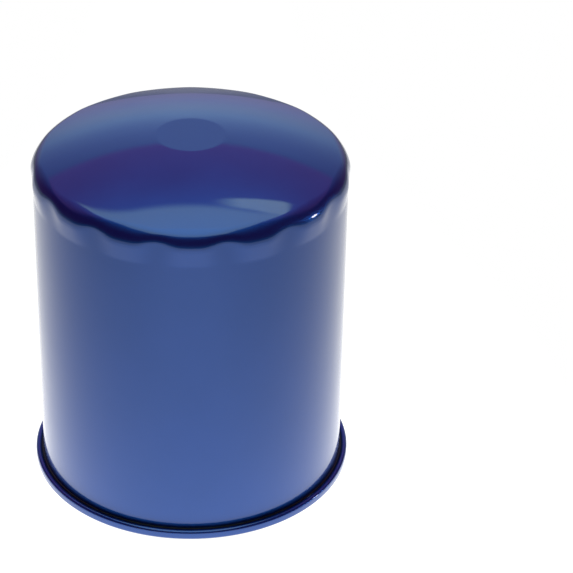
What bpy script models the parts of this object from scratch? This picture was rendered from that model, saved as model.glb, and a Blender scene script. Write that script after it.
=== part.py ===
"""Spin-on oil filter: a fluted steel can with its rolled-on lid, threaded base plate, gasket and valves,
and the pleated-paper element inside it. Metres, +Z up. The origin is the centre of the gasket's face,
and +Z runs along the filter's axis towards the can's closed end."""

import math

import bmesh
import bpy
from mathutils import Matrix

MM = 0.001
GAP = 0.3 * MM

# The can: a 93 mm drawn shell with fifteen wrench flutes round its closed end.
CAN_RADIUS = 46.5 * MM
CAN_HEIGHT = 112.3 * MM
SHEET = 0.45 * MM
CAN_STEPS = 60
CROWN_RADIUS = 141.0 * MM
CROWN_FLAT_RADIUS = 10.2 * MM
SHOULDER_RADIUS = 4.0 * MM
SHOULDER_ARC_STEPS = 5
FLUTES = 15
RIB_FOOT = 100.0 * MM
RIB_RADIUS = 5.7 * MM
RIB_REACH = 47.2 * MM
WALL_GUIDE = 95.0 * MM

# The double seam that joins the lid to the can's foot.
SEAM_RADIUS = 48.9 * MM
SEAM_FOOT = 1.5 * MM
SEAM_TOP = 4.5 * MM
SEAM_PITCH = 0.75 * MM
CAN_HOOK_RADIUS = 47.7 * MM
CAN_HOOK_FOOT = 2.6 * MM
CAN_HOOK_TOP = 3.5 * MM
LID_HOOK_FOOT = 2.95 * MM
LID_STEPS = 40
LID_PANEL = 5.5 * MM

# The gasket and the groove that the lid makes for it.
GASKET_INNER = 31.0 * MM
GASKET_OUTER = 36.0 * MM
GASKET_HEIGHT = 6.0 * MM
GROOVE_LIP = 2.2 * MM

# The base plate, its 3/4-16 thread and its ring of oil inlets.
PLATE_FOOT = 7.1 * MM
PLATE_THICKNESS = 3.5 * MM
PLATE_RADIUS = 44.6 * MM
PLATE_STEPS = 32
HUB_RADIUS = 12.0 * MM
HUB_TOP = 19.5 * MM
THREAD_PITCH = 25.4 / 16 * MM
THREAD_MAJOR = 9.525 * MM
THREAD_MINOR = 8.66 * MM
THREAD_ROWS = 3
INLETS = 8
INLET_RADIUS = 3.75 * MM
INLET_CIRCLE = 21.0 * MM

# The anti-drain valve, a rubber skirt on a collar.
SKIRT_THICKNESS = 1.2 * MM
SKIRT_RIM = 28.6 * MM
COLLAR_TOP = 18.6 * MM

# The element.
ELEMENT_FOOT = 18.9 * MM
ELEMENT_TOP = 99.5 * MM
CAP_SHEET = 0.5 * MM
CAP_RADIUS = 38.3 * MM
CAP_RIM = 3.9 * MM
CAP_STEPS = 32
POTTING = 2.0 * MM
PLEATS = 50
PLEAT_OUTER = 37.2 * MM
PLEAT_INNER = 18.0 * MM
PLEAT_SHEET = 6.2 * MM
CLIP_WIDTH = 1.3 * MM
CLIP_DEPTH = 3.6 * MM
CLIP_SHEET = 0.4 * MM
BEAD = 1.2 * MM
TUBE_RADIUS = 15.6 * MM
TUBE_SHEET = 0.6 * MM
TUBE_HOLE = 2.6 * MM
TUBE_HOLES_ROUND = 6
TUBE_HOLES_UP = 4

# The bypass valve, which hangs in the upper end cap.
VALVE_HOLE = 11.5 * MM
VALVE_FLANGE = 13.6 * MM
VALVE_RADIUS = 11.0 * MM
VALVE_SHEET = 0.6 * MM
VALVE_FOOT = 83.0 * MM
SEAT_RADIUS = 6.8 * MM
SEAL_THICKNESS = 1.0 * MM
POPPET_RADIUS = 9.3 * MM
STEM_RADIUS = 2.3 * MM
STEM_FOOT = 81.5 * MM
COIL_RADIUS = 6.0 * MM
WIRE_RADIUS = 0.5 * MM
COIL_TURNS = 6
COIL_POINTS = 10
VALVE_STEPS = 24

# The leaf spring over the element.
LEAF_SHEET = 0.6 * MM
LEAF_RING = 18.0 * MM
LEAF_ARMS = 4
LEAF_WIDTH = 9.0 * MM
LEAF_REACH = 31.0 * MM

# Colour, metallic and roughness of each material.
MATERIALS = {
    "blue_paint": ((0.010, 0.040, 0.220), 0.6, 0.20),
    "black_sealant": ((0.005, 0.005, 0.006), 0.0, 0.40),
    "black_rubber": ((0.012, 0.012, 0.013), 0.0, 0.55),
    "orange_silicone": ((0.620, 0.130, 0.030), 0.0, 0.45),
    "plated_steel": ((0.560, 0.550, 0.500), 1.0, 0.35),
    "tinned_steel": ((0.620, 0.620, 0.600), 1.0, 0.25),
    "spring_steel": ((0.330, 0.340, 0.360), 1.0, 0.30),
    "filter_paper": ((0.620, 0.440, 0.210), 0.0, 0.90),
    "plastisol": ((0.330, 0.050, 0.040), 0.0, 0.50),
    "hot_melt": ((0.720, 0.650, 0.430), 0.0, 0.40),
}


def clear_scene():
    for obj in list(bpy.data.objects):
        bpy.data.objects.remove(obj, do_unlink=True)


def new_collection(name, hidden=False):
    collection = bpy.data.collections.new(name)
    collection.hide_render = hidden
    bpy.context.scene.collection.children.link(collection)
    return collection


def material(name):
    """The named Principled material, made on first use."""
    if name in bpy.data.materials:
        return bpy.data.materials[name]
    colour, metallic, roughness = MATERIALS[name]
    made = bpy.data.materials.new(name)
    made.use_nodes = True
    shader = made.node_tree.nodes["Principled BSDF"]
    shader.inputs["Base Color"].default_value = (*colour, 1)
    shader.inputs["Metallic"].default_value = metallic
    shader.inputs["Roughness"].default_value = roughness
    made.diffuse_color = (*colour, 1)
    return made


def add_object(name, data, finish, collection=None):
    obj = bpy.data.objects.new(name, data)
    (collection or PARTS).objects.link(obj)
    if finish:
        data.materials.append(material(finish))
    return obj


def add_cutter(name, mesh):
    obj = add_object(name, mesh, None, CUTTERS)
    obj.hide_render = True
    obj.display_type = "WIRE"
    return obj


def cut(obj, cutter):
    boolean = obj.modifiers.new("cut_" + cutter.name, "BOOLEAN")
    boolean.operation = "DIFFERENCE"
    boolean.object = cutter


def smooth(mesh):
    mesh.shade_smooth()
    mesh.set_sharp_from_angle(angle=math.radians(35))


def apply_modifiers(obj):
    """Makes the object's evaluated mesh its own and drops the modifiers."""
    graph = bpy.context.evaluated_depsgraph_get()
    mesh = bpy.data.meshes.new_from_object(obj.evaluated_get(graph))
    obj.modifiers.clear()
    obj.data = mesh
    smooth(mesh)


def arc(centre, radius, start, end, steps):
    """Profile points on an arc. Angles are in degrees from the outward direction, positive upward."""
    angles = [math.radians(start + (end - start) * i / steps) for i in range(steps + 1)]
    return [(centre[0] + radius * math.cos(a), centre[1] + radius * math.sin(a)) for a in angles]


def turned(name, profile, finish, steps, closed=True, sheet=None, side=0.0):
    """A profile of (radius, height) points turned round the axis. An open profile is a sheet with the
    given thickness: side 0 puts the profile at its middle, and -1 puts it at its outer face."""
    mesh = bpy.data.meshes.new(name)
    count = len(profile)
    edges = [(i, (i + 1) % count) for i in range(count if closed else count - 1)]
    mesh.from_pydata([(r, 0, z) for r, z in profile], edges, [])
    obj = add_object(name, mesh, finish)
    screw = obj.modifiers.new("turn", "SCREW")
    screw.axis = "Z"
    screw.angle = math.tau
    screw.steps = steps
    screw.render_steps = steps
    screw.use_merge_vertices = True
    screw.merge_threshold = 0.00001
    screw.use_smooth_shade = True
    if sheet:
        apply_modifiers(obj)
        thick = obj.modifiers.new("sheet", "SOLIDIFY")
        thick.thickness = sheet
        thick.offset = side
        thick.use_even_offset = True
    return obj


def block_ring(inner, outer, foot, top):
    """The profile of a plain ring with square corners."""
    return [(outer, top), (outer, foot), (inner, foot), (inner, top)]


def rods(count, radius, length, place, sides):
    """A mesh of separate rods, the i-th put in place by the matrix place(i)."""
    mesh = bpy.data.meshes.new("rods")
    form = bmesh.new()
    for i in range(count):
        bmesh.ops.create_cone(form, cap_ends=True, segments=sides, radius1=radius, radius2=radius,
                              depth=length, matrix=place(i))
    form.to_mesh(mesh)
    form.free()
    return mesh


def turn(angle):
    return Matrix.Rotation(angle, 4, "Z")


def rib_share(angle):
    """1 on the crest of a rib between two flutes, and 0 in the middle of a flute. One rib faces -Y."""
    wave = 0.5 + 0.5 * math.cos(FLUTES * (angle + math.pi / 2))
    return math.sin(math.pi / 2 * wave)


def shoulder(radius, reach):
    """The profile from the crown's edge down to the ribs' foot: an arc that ends upright at the reach."""
    crown_centre = CAN_HEIGHT - math.sqrt(CROWN_RADIUS**2 - CROWN_FLAT_RADIUS**2)
    across = reach - radius
    along = math.sqrt((CROWN_RADIUS - radius) ** 2 - across**2)
    top_angle = math.degrees(math.atan2(along, across))
    profile = arc((across, crown_centre + along), radius, top_angle, 0, SHOULDER_ARC_STEPS)
    return profile + [(reach, RIB_FOOT)]


def can_shell():
    flute = shoulder(SHOULDER_RADIUS, CAN_RADIUS)
    rib = shoulder(RIB_RADIUS, RIB_REACH)
    crown_centre = CAN_HEIGHT - math.sqrt(CROWN_RADIUS**2 - CROWN_FLAT_RADIUS**2)
    flat_angle = math.degrees(math.acos(CROWN_FLAT_RADIUS / CROWN_RADIUS))
    edge_angle = math.degrees(math.acos(flute[0][0] / CROWN_RADIUS))
    bend = CAN_HOOK_RADIUS - CAN_RADIUS
    profile = [(0, CAN_HEIGHT)]
    profile += arc((0, crown_centre), CROWN_RADIUS, flat_angle, edge_angle, 3)[:-1]
    profile += flute + [(CAN_RADIUS, WALL_GUIDE)]
    profile += arc((CAN_RADIUS + bend / 2, CAN_HOOK_FOOT + bend / 2), bend / 2, 180, 360, 3)
    profile += [(CAN_HOOK_RADIUS, CAN_HOOK_TOP)]
    can = turned("can_shell", profile, "blue_paint", CAN_STEPS, closed=False, sheet=SHEET, side=-1)
    # Between two flutes the shoulder keeps a low rib, so its rows move towards the rib's profile.
    moves = {(round(r, 6), round(z, 6)): (to_r - r, to_z - z) for (r, z), (to_r, to_z) in zip(flute, rib)}
    for vertex in can.data.vertices:
        x, y, z = vertex.co
        radius = math.hypot(x, y)
        if (round(radius, 6), round(z, 6)) in moves:
            out, rise = moves[round(radius, 6), round(z, 6)]
            share = rib_share(math.atan2(y, x))
            scale = 1 + out * share / radius
            vertex.co = (x * scale, y * scale, z + rise * share)


def seaming_lid():
    half = SHEET / 2
    panel_radius = SEAM_RADIUS - half
    fold = (panel_radius - SEAM_PITCH, SEAM_TOP - half - SEAM_PITCH)
    foot = SEAM_FOOT + half
    chuck = CAN_RADIUS - SHEET - 0.2 * MM - half
    groove_outer = GASKET_OUTER + GAP + half
    groove_inner = GASKET_INNER - GAP - half
    roof = GASKET_HEIGHT + GAP + half
    lip = (groove_outer + 0.9 * MM, GROOVE_LIP + half + 0.9 * MM)
    bend = 0.5 * MM
    profile = [(groove_inner, GROOVE_LIP + 1.0 * MM), (groove_inner, roof), (groove_outer, roof)]
    profile += arc(lip, 0.9 * MM, 180, 360, 2)
    profile += [(lip[0] + 1.9 * MM, LID_PANEL), (chuck - bend, LID_PANEL), (chuck, LID_PANEL - bend)]
    profile += [(chuck, foot + bend), (chuck + bend, foot)]
    profile += [(panel_radius - bend, foot), (panel_radius, foot + bend)]
    profile += arc(fold, SEAM_PITCH, 0, 180, 3)
    profile += [(fold[0] - SEAM_PITCH, LID_HOOK_FOOT)]
    turned("seaming_lid", profile, "blue_paint", LID_STEPS, closed=False, sheet=SHEET)


def seam_sealant():
    """The compound in the valley between the can's wall and the rolled seam."""
    wall = CAN_RADIUS + 0.15 * MM
    profile = [(wall, SEAM_TOP + 0.35 * MM), (wall + 0.5 * MM, SEAM_TOP + 0.35 * MM)]
    profile += [(wall + 0.9 * MM, SEAM_TOP + 0.14 * MM), (wall + 0.5 * MM, SEAM_TOP - 0.08 * MM)]
    profile += [(wall, SEAM_TOP - 0.55 * MM)]
    turned("seam_sealant", profile, "black_sealant", CAN_STEPS)


def outer_gasket():
    round_off = 0.5 * MM
    profile = [(GASKET_OUTER - round_off, GASKET_HEIGHT), (GASKET_OUTER, GASKET_HEIGHT - round_off)]
    profile += [(GASKET_OUTER, round_off), (GASKET_OUTER - round_off, 0)]
    profile += [(GASKET_INNER + round_off, 0), (GASKET_INNER, round_off)]
    profile += [(GASKET_INNER, GASKET_HEIGHT - round_off), (GASKET_INNER + round_off, GASKET_HEIGHT)]
    turned("outer_gasket", profile, "black_rubber", LID_STEPS)


def base_plate():
    top = PLATE_FOOT + PLATE_THICKNESS
    edge = 0.5 * MM
    lead = 0.9 * MM
    thread_foot = PLATE_FOOT + lead
    rows = int((HUB_TOP - lead - thread_foot) / THREAD_PITCH * THREAD_ROWS)
    rise = (HUB_TOP - lead - thread_foot) / rows
    profile = [(PLATE_RADIUS, top - edge), (PLATE_RADIUS, PLATE_FOOT + edge)]
    profile += [(PLATE_RADIUS - edge, PLATE_FOOT), (THREAD_MAJOR + 0.3 * MM, PLATE_FOOT)]
    profile += [(THREAD_MINOR, thread_foot + rise * i) for i in range(rows + 1)]
    profile += [(THREAD_MAJOR, HUB_TOP), (HUB_RADIUS - edge, HUB_TOP), (HUB_RADIUS, HUB_TOP - edge)]
    profile += [(HUB_RADIUS, top + 2 * edge), (HUB_RADIUS + 2 * edge, top), (PLATE_RADIUS - edge, top)]
    plate = turned("base_plate", profile, "plated_steel", PLATE_STEPS)
    apply_modifiers(plate)
    # The thread is a V-shaped wave that climbs one pitch each turn round the bore.
    for vertex in plate.data.vertices:
        x, y, z = vertex.co
        radius = math.hypot(x, y)
        if radius > THREAD_MINOR + 0.01 * MM:
            continue
        phase = ((z - thread_foot) / THREAD_PITCH - math.atan2(y, x) / math.tau) % 1
        depth = (THREAD_MAJOR - THREAD_MINOR) * abs(2 * phase - 1)
        vertex.co.x = x * (radius + depth) / radius
        vertex.co.y = y * (radius + depth) / radius
    holes = rods(INLETS, INLET_RADIUS, 3 * PLATE_THICKNESS,
                 lambda i: turn(math.tau * (i + 0.5) / INLETS)
                 @ Matrix.Translation((INLET_CIRCLE, 0, PLATE_FOOT + PLATE_THICKNESS / 2)), 12)
    cut(plate, add_cutter("inlet_holes", holes))


def anti_drain_valve():
    """A collar on the hub, and a skirt whose rim lies on the plate outside the inlet holes."""
    half = SKIRT_THICKNESS / 2
    collar = HUB_RADIUS + GAP + half
    rim = PLATE_FOOT + PLATE_THICKNESS + GAP + half
    profile = [(collar, COLLAR_TOP), (collar, rim + 3.4 * MM), (collar + 1.6 * MM, rim + 1.7 * MM)]
    profile += [(INLET_CIRCLE + 1 * MM, rim + 1.3 * MM), (SKIRT_RIM - 3 * MM, rim + 0.5 * MM)]
    profile += [(SKIRT_RIM, rim)]
    profile.reverse()
    turned("anti_drain_valve", profile, "orange_silicone", PLATE_STEPS, closed=False, sheet=SKIRT_THICKNESS)


def end_caps():
    half = CAP_SHEET / 2
    rim = CAP_RADIUS - half
    bend = 0.6 * MM
    floor = ELEMENT_FOOT + half
    bore = HUB_RADIUS + 0.85 * MM
    lower = [(bore, floor + 2.2 * MM), (bore, floor + bend), (bore + bend, floor)]
    lower += [(rim - bend, floor), (rim, floor + bend), (rim, floor + CAP_RIM)]
    turned("lower_end_cap", lower, "tinned_steel", CAP_STEPS, closed=False, sheet=CAP_SHEET)
    roof = ELEMENT_TOP - half
    upper = [(VALVE_HOLE, roof), (rim - bend, roof), (rim, roof - bend), (rim, roof - CAP_RIM)]
    turned("upper_end_cap", upper, "tinned_steel", CAP_STEPS, closed=False, sheet=CAP_SHEET)


def potting():
    inner = TUBE_RADIUS + 0.4 * MM
    outer = CAP_RADIUS - CAP_SHEET - 0.4 * MM
    foot = ELEMENT_FOOT + CAP_SHEET + GAP
    top = ELEMENT_TOP - CAP_SHEET - GAP
    turned("lower_potting", block_ring(inner, outer, foot, foot + POTTING), "plastisol", VALVE_STEPS)
    turned("upper_potting", block_ring(inner, outer, top - POTTING, top), "plastisol", VALVE_STEPS)


def media_span():
    """The lowest and highest level of the paper, between the two layers of potting."""
    return (ELEMENT_FOOT + CAP_SHEET + POTTING + 2 * GAP, ELEMENT_TOP - CAP_SHEET - POTTING - 2 * GAP)


def extruded(name, outlines, foot, top, finish):
    """Closed outlines of (x, y) points, filled and extruded from foot to top."""
    curve = bpy.data.curves.new(name, "CURVE")
    curve.dimensions = "2D"
    curve.fill_mode = "BOTH"
    curve.extrude = (top - foot) / 2
    for outline in outlines:
        spline = curve.splines.new("POLY")
        spline.points.add(len(outline) - 1)
        for point, (x, y) in zip(spline.points, outline):
            point.co = (x, y, 0, 1)
        spline.use_cyclic_u = True
    obj = add_object(name, curve, finish)
    obj.location.z = (foot + top) / 2
    return obj


def filter_media():
    """One sheet of paper in radial pleats. Its two faces are the same zigzag, one inside the other."""
    def zigzag(tip, root):
        turns = [math.pi * i / PLEATS for i in range(2 * PLEATS)]
        return [((root if i % 2 else tip) * math.cos(a), (root if i % 2 else tip) * math.sin(a))
                for i, a in enumerate(turns)]
    faces = [zigzag(PLEAT_OUTER, PLEAT_INNER + PLEAT_SHEET), zigzag(PLEAT_OUTER - PLEAT_SHEET, PLEAT_INNER)]
    extruded("filter_media", faces, *media_span(), "filter_paper")


def media_seam_clip():
    """A folded strip in the valley between two pleats, open towards the axis."""
    foot, top = media_span()
    half = CLIP_WIDTH / 2
    far = PLEAT_OUTER - GAP
    near = far - CLIP_DEPTH
    inside = half - CLIP_SHEET
    outline = [(near, -half), (far, -half), (far, half), (near, half)]
    outline += [(near, inside), (far - CLIP_SHEET, inside), (far - CLIP_SHEET, -inside), (near, -inside)]
    clip = extruded("media_seam_clip", [outline], foot, top, "tinned_steel")
    clip.rotation_euler.z = math.pi / PLEATS


def pleat_beads():
    foot, top = media_span()
    for name, share in (("pleat_bead_lower", 1 / 3), ("pleat_bead_upper", 2 / 3)):
        middle = (PLEAT_OUTER + GAP + BEAD / 2, foot + (top - foot) * share)
        turned(name, arc(middle, BEAD / 2, 90, -180, 3), "hot_melt", CAP_STEPS)


def centre_tube():
    foot = ELEMENT_FOOT + CAP_SHEET + GAP
    top = ELEMENT_TOP - CAP_SHEET - GAP
    wall = block_ring(TUBE_RADIUS - TUBE_SHEET, TUBE_RADIUS, foot, top)
    tube = turned("centre_tube", wall, "tinned_steel", VALVE_STEPS)
    rise = (top - foot) / (TUBE_HOLES_UP + 1)

    def place(i):
        row, column = divmod(i, TUBE_HOLES_ROUND)
        angle = math.tau * (column + 0.5 * (row % 2)) / TUBE_HOLES_ROUND
        across = Matrix.Translation((TUBE_RADIUS, 0, foot + rise * (row + 1)))
        return turn(angle) @ across @ Matrix.Rotation(math.pi / 2, 4, "Y")

    holes = rods(TUBE_HOLES_ROUND * TUBE_HOLES_UP, TUBE_HOLE, 6 * MM, place, 8)
    cut(tube, add_cutter("tube_perforations", holes))


def seat_face():
    """The level of the bypass valve's seat, on the underside of the valve's flange."""
    return ELEMENT_TOP + 0.25 * MM


def bypass_valve_body():
    """A flange with the seat in it, and a cage below that holds the spring."""
    seat = seat_face()
    inner = VALVE_RADIUS - VALVE_SHEET
    crimp = VALVE_RADIUS - 2.4 * MM
    profile = [(VALVE_FLANGE, seat + VALVE_SHEET), (VALVE_FLANGE, seat), (VALVE_RADIUS, seat)]
    profile += [(VALVE_RADIUS, VALVE_FOOT), (crimp, VALVE_FOOT), (crimp, VALVE_FOOT + VALVE_SHEET)]
    profile += [(inner, VALVE_FOOT + VALVE_SHEET), (inner, seat), (SEAT_RADIUS, seat)]
    profile += [(SEAT_RADIUS, seat + VALVE_SHEET)]
    body = turned("bypass_valve_body", profile, "tinned_steel", VALVE_STEPS)
    windows = bpy.data.meshes.new("windows")
    form = bmesh.new()
    for i in range(4):
        across = Matrix.Translation((VALVE_RADIUS, 0, (VALVE_FOOT + seat) / 2))
        size = Matrix.Diagonal((6 * MM, 8 * MM, 9 * MM, 1))
        bmesh.ops.create_cube(form, size=1, matrix=turn(math.tau * (i + 0.5) / 4) @ across @ size)
    form.to_mesh(windows)
    form.free()
    cut(body, add_cutter("cage_windows", windows))


def bypass_poppet():
    top = seat_face() - SEAL_THICKNESS - 2 * GAP
    disc = 1.0 * MM
    pilot = COIL_RADIUS - WIRE_RADIUS - 0.7 * MM
    boss = POPPET_RADIUS - 4.3 * MM
    profile = [(0, top + SEAL_THICKNESS), (boss, top + SEAL_THICKNESS), (boss, top)]
    profile += [(POPPET_RADIUS, top), (POPPET_RADIUS, top - disc), (pilot, top - disc)]
    profile += [(pilot, top - 2.2 * MM), (STEM_RADIUS, top - 2.2 * MM), (STEM_RADIUS, STEM_FOOT + 0.5 * MM)]
    profile += [(STEM_RADIUS - 0.5 * MM, STEM_FOOT), (0, STEM_FOOT)]
    turned("bypass_poppet", profile, "tinned_steel", VALVE_STEPS, closed=False)
    seal_top = seat_face() - GAP
    ring = block_ring(boss + 0.4 * MM, POPPET_RADIUS, seal_top - SEAL_THICKNESS, seal_top)
    turned("bypass_seal", ring, "black_rubber", VALVE_STEPS)


def bypass_spring():
    """A coil with one closed turn at each end, between the spring cap and the poppet."""
    foot = VALVE_FOOT + 2 * VALVE_SHEET + 2 * GAP + WIRE_RADIUS
    top = seat_face() - SEAL_THICKNESS - 2 * GAP - 1.0 * MM - GAP - WIRE_RADIUS
    closed_rise = 2 * WIRE_RADIUS + 0.15 * MM
    open_rise = (top - foot - 2 * closed_rise) / (COIL_TURNS - 2)
    curve = bpy.data.curves.new("bypass_spring", "CURVE")
    curve.dimensions = "3D"
    curve.bevel_depth = WIRE_RADIUS
    curve.bevel_resolution = 1
    curve.use_fill_caps = True
    spline = curve.splines.new("POLY")
    spline.points.add(COIL_TURNS * COIL_POINTS)
    for i, point in enumerate(spline.points):
        turns = i / COIL_POINTS
        height = foot + closed_rise * min(turns, 1)
        height += open_rise * min(max(turns - 1, 0), COIL_TURNS - 2)
        height += closed_rise * max(turns - COIL_TURNS + 1, 0)
        angle = math.tau * turns
        point.co = (COIL_RADIUS * math.cos(angle), COIL_RADIUS * math.sin(angle), height, 1)
    add_object("bypass_spring", curve, "spring_steel")


def bypass_spring_cap():
    half = VALVE_SHEET / 2
    floor = VALVE_FOOT + VALVE_SHEET + GAP + half
    guide = STEM_RADIUS + 0.2 * MM + half
    rim = VALVE_RADIUS - VALVE_SHEET - GAP - half
    bend = 0.4 * MM
    profile = [(guide, floor + 2.2 * MM), (guide, floor + bend), (guide + bend, floor)]
    profile += [(rim - bend, floor), (rim, floor + bend), (rim, floor + 1.8 * MM)]
    turned("bypass_spring_cap", profile, "tinned_steel", VALVE_STEPS, closed=False, sheet=VALVE_SHEET)


def element_spring():
    """A ring on the upper end cap, with arms that rise to the underside of the crown."""
    foot = seat_face() + VALVE_SHEET + GAP
    crown_centre = CAN_HEIGHT - math.sqrt(CROWN_RADIUS**2 - CROWN_FLAT_RADIUS**2)
    crown = crown_centre + math.sqrt((CROWN_RADIUS - SHEET) ** 2 - LEAF_REACH**2)
    tip = crown - GAP - LEAF_SHEET - 0.3 * MM
    flat = block_ring(VALVE_HOLE, LEAF_RING, foot, foot + LEAF_SHEET)
    ring = turned("element_spring", flat, "spring_steel", VALVE_STEPS)
    start = LEAF_RING - 3 * MM
    route = [(start, foot), (LEAF_RING + 1 * MM, foot), (LEAF_RING + 3 * MM, foot + 0.8 * MM)]
    route += [(LEAF_REACH - 3 * MM, tip - 0.6 * MM), (LEAF_REACH - 1 * MM, tip)]
    route += [(LEAF_REACH, tip - 0.3 * MM)]
    for i in range(LEAF_ARMS):
        form = bmesh.new()
        rails = [[form.verts.new((r, side * LEAF_WIDTH / 2, z)) for r, z in route] for side in (-1, 1)]
        for k in range(len(route) - 1):
            form.faces.new((rails[0][k], rails[0][k + 1], rails[1][k + 1], rails[1][k]))
        form.transform(turn(math.tau * (i + 0.5) / LEAF_ARMS))
        mesh = bpy.data.meshes.new("arm")
        form.to_mesh(mesh)
        form.free()
        arm = add_cutter(f"spring_arm_{i}", mesh)
        thick = arm.modifiers.new("sheet", "SOLIDIFY")
        thick.thickness = LEAF_SHEET
        thick.offset = 1
        thick.use_even_offset = True
        join = ring.modifiers.new(f"arm_{i}", "BOOLEAN")
        join.operation = "UNION"
        join.object = arm


clear_scene()
PARTS = new_collection("oil_filter")
CUTTERS = new_collection("cutters", hidden=True)
can_shell()
seaming_lid()
seam_sealant()
outer_gasket()
base_plate()
anti_drain_valve()
end_caps()
potting()
filter_media()
media_seam_clip()
pleat_beads()
centre_tube()
bypass_valve_body()
bypass_poppet()
bypass_spring()
bypass_spring_cap()
element_spring()
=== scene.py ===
"""Looks for the spin-on oil filter: fine surfaces and materials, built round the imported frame."""
import math

import bmesh
import bpy
import numpy as np
from mathutils import Matrix, Vector


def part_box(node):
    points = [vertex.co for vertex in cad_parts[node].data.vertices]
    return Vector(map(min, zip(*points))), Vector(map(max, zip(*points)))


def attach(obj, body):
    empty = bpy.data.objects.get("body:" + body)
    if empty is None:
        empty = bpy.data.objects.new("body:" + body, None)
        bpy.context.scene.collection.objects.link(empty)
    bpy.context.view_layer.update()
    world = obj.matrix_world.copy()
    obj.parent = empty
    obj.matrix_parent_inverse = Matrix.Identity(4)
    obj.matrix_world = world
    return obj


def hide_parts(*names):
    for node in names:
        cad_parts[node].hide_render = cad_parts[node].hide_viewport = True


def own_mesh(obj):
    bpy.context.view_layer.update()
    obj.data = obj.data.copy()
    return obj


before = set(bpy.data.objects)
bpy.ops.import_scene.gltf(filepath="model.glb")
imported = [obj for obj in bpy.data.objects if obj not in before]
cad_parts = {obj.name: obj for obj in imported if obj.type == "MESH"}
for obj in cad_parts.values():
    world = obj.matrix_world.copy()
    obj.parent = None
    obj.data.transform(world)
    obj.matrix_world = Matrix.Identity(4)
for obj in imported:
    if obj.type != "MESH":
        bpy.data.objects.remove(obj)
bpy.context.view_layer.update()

MM = 0.001
ROOT = "filter_body"

# ---------------------------------------- places, from the frame

LID_LOW, LID_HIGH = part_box("seaming_lid")
SEAM_RADIUS = LID_HIGH.x
SEAM_FOOT = LID_LOW.z
SHELL_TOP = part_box("can_shell")[1].z
GASKET_LOW, GASKET_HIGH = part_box("outer_gasket")
PLATE_LOW, PLATE_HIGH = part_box("base_plate")
FLAP_LOW, FLAP_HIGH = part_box("anti_drain_valve")
LOWER_CAP_LOW, LOWER_CAP_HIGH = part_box("lower_end_cap")
UPPER_CAP_LOW, UPPER_CAP_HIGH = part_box("upper_end_cap")
MEDIA_LOW, MEDIA_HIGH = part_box("filter_media")
TUBE_LOW, TUBE_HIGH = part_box("centre_tube")
VALVE_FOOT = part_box("bypass_valve_body")[0].z
POPPET_LOW, POPPET_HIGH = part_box("bypass_poppet")
SEAL_LOW, SEAL_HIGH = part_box("bypass_seal")
COIL_LOW, COIL_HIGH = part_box("bypass_spring")
COIL_CAP_LOW, COIL_CAP_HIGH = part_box("bypass_spring_cap")

# ---------------------------------------- sizes of the can and its seam

SHEET = 0.45 * MM
CAN_RADIUS = SEAM_RADIUS - 2.4 * MM
CAN_COLUMNS = 360
WALL_ROWS = 12
SHOULDER_ROWS = 40
FLUTES = 15
CROWN_RADIUS = 141.0 * MM
CROWN_FLAT = 10.2 * MM
CROWN_SOFTNESS = 0.03 * MM
CROWN_CENTRE = SHELL_TOP - math.sqrt(CROWN_RADIUS**2 - CROWN_FLAT**2)
SHOULDER_RADIUS = 4.0 * MM
SHOULDER_FOOT = SHELL_TOP - 17.3 * MM
RIB_RADIUS = 5.7 * MM
RIB_FOOT = SHELL_TOP - 12.3 * MM
RIB_REACH = CAN_RADIUS + 0.7 * MM
RIB_SOFTNESS = 8.0 * MM
SEAM_TOP = SEAM_FOOT + 3.0 * MM
SEAM_PITCH = 0.75 * MM
CAN_HOOK = CAN_RADIUS + 1.2 * MM
SEAM_COLUMNS = 240
GASKET_WIDTH = 5.0 * MM
GAP = 0.3 * MM
WELD = 0.00002 * MM


# ---------------------------------------- profiles and turned meshes

def fillet(corner, before, after, radius, steps):
    """Points of an arc that rounds a corner between two neighbours, all (radius, height) pairs."""
    corner, before, after = Vector(corner), Vector(before), Vector(after)
    back, on = (before - corner).normalized(), (after - corner).normalized()
    half = back.angle(on) / 2
    if radius <= 0 or half > math.radians(89.5):
        return [tuple(corner)]
    reach = radius / math.tan(half)
    centre = corner + (back + on).normalized() * radius / math.sin(half)
    start, end = corner + back * reach - centre, corner + on * reach - centre
    sweep = start.angle_signed(end) * -1
    points = []
    for i in range(steps + 1):
        turned_by = Matrix.Rotation(sweep * i / steps, 2)
        points.append(tuple(centre + turned_by @ start))
    return points


def stepped(point, towards, lead):
    """The point a short step along the way to its neighbour, at most a quarter of that way."""
    way = Vector(towards) - Vector(point)
    return tuple(Vector(point) + way.normalized() * min(lead, way.length / 4))


def rounded(corners, closed=False, steps=6, support=0.25):
    """A smooth profile through corners of (radius, height, rounding). Short support steps beside
    each arc keep its shading off the straight stretches."""
    places = [Vector(c[:2]) for c in corners]
    count = len(corners)
    points = []
    for i, (r, z, radius) in enumerate(corners):
        if not closed and i in (0, count - 1):
            points.append((r, z))
            continue
        before, after = places[i - 1], places[(i + 1) % count]
        arc_points = fillet((r, z), before, after, radius, steps)
        if radius > 0 and len(arc_points) > 1:
            lead = support * radius
            arc_points.insert(0, stepped(arc_points[0], before, lead))
            arc_points.append(stepped(arc_points[-1], after, lead))
        points += arc_points
    return points


def resampled(points, count):
    """The same line, as a number of evenly spaced points."""
    line = np.array(points, float)
    along = np.concatenate([[0], np.cumsum(np.linalg.norm(np.diff(line, axis=0), axis=1))])
    at = np.linspace(0, along[-1], count)
    return np.stack([np.interp(at, along, line[:, k]) for k in range(2)], axis=1)


def line_normals(line):
    """Unit normals to the right of a line's direction, at each of its points."""
    step = np.gradient(line, axis=0)
    step /= np.linalg.norm(step, axis=1, keepdims=True)
    return np.stack([-step[:, 1], step[:, 0]], axis=1) * -1


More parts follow.
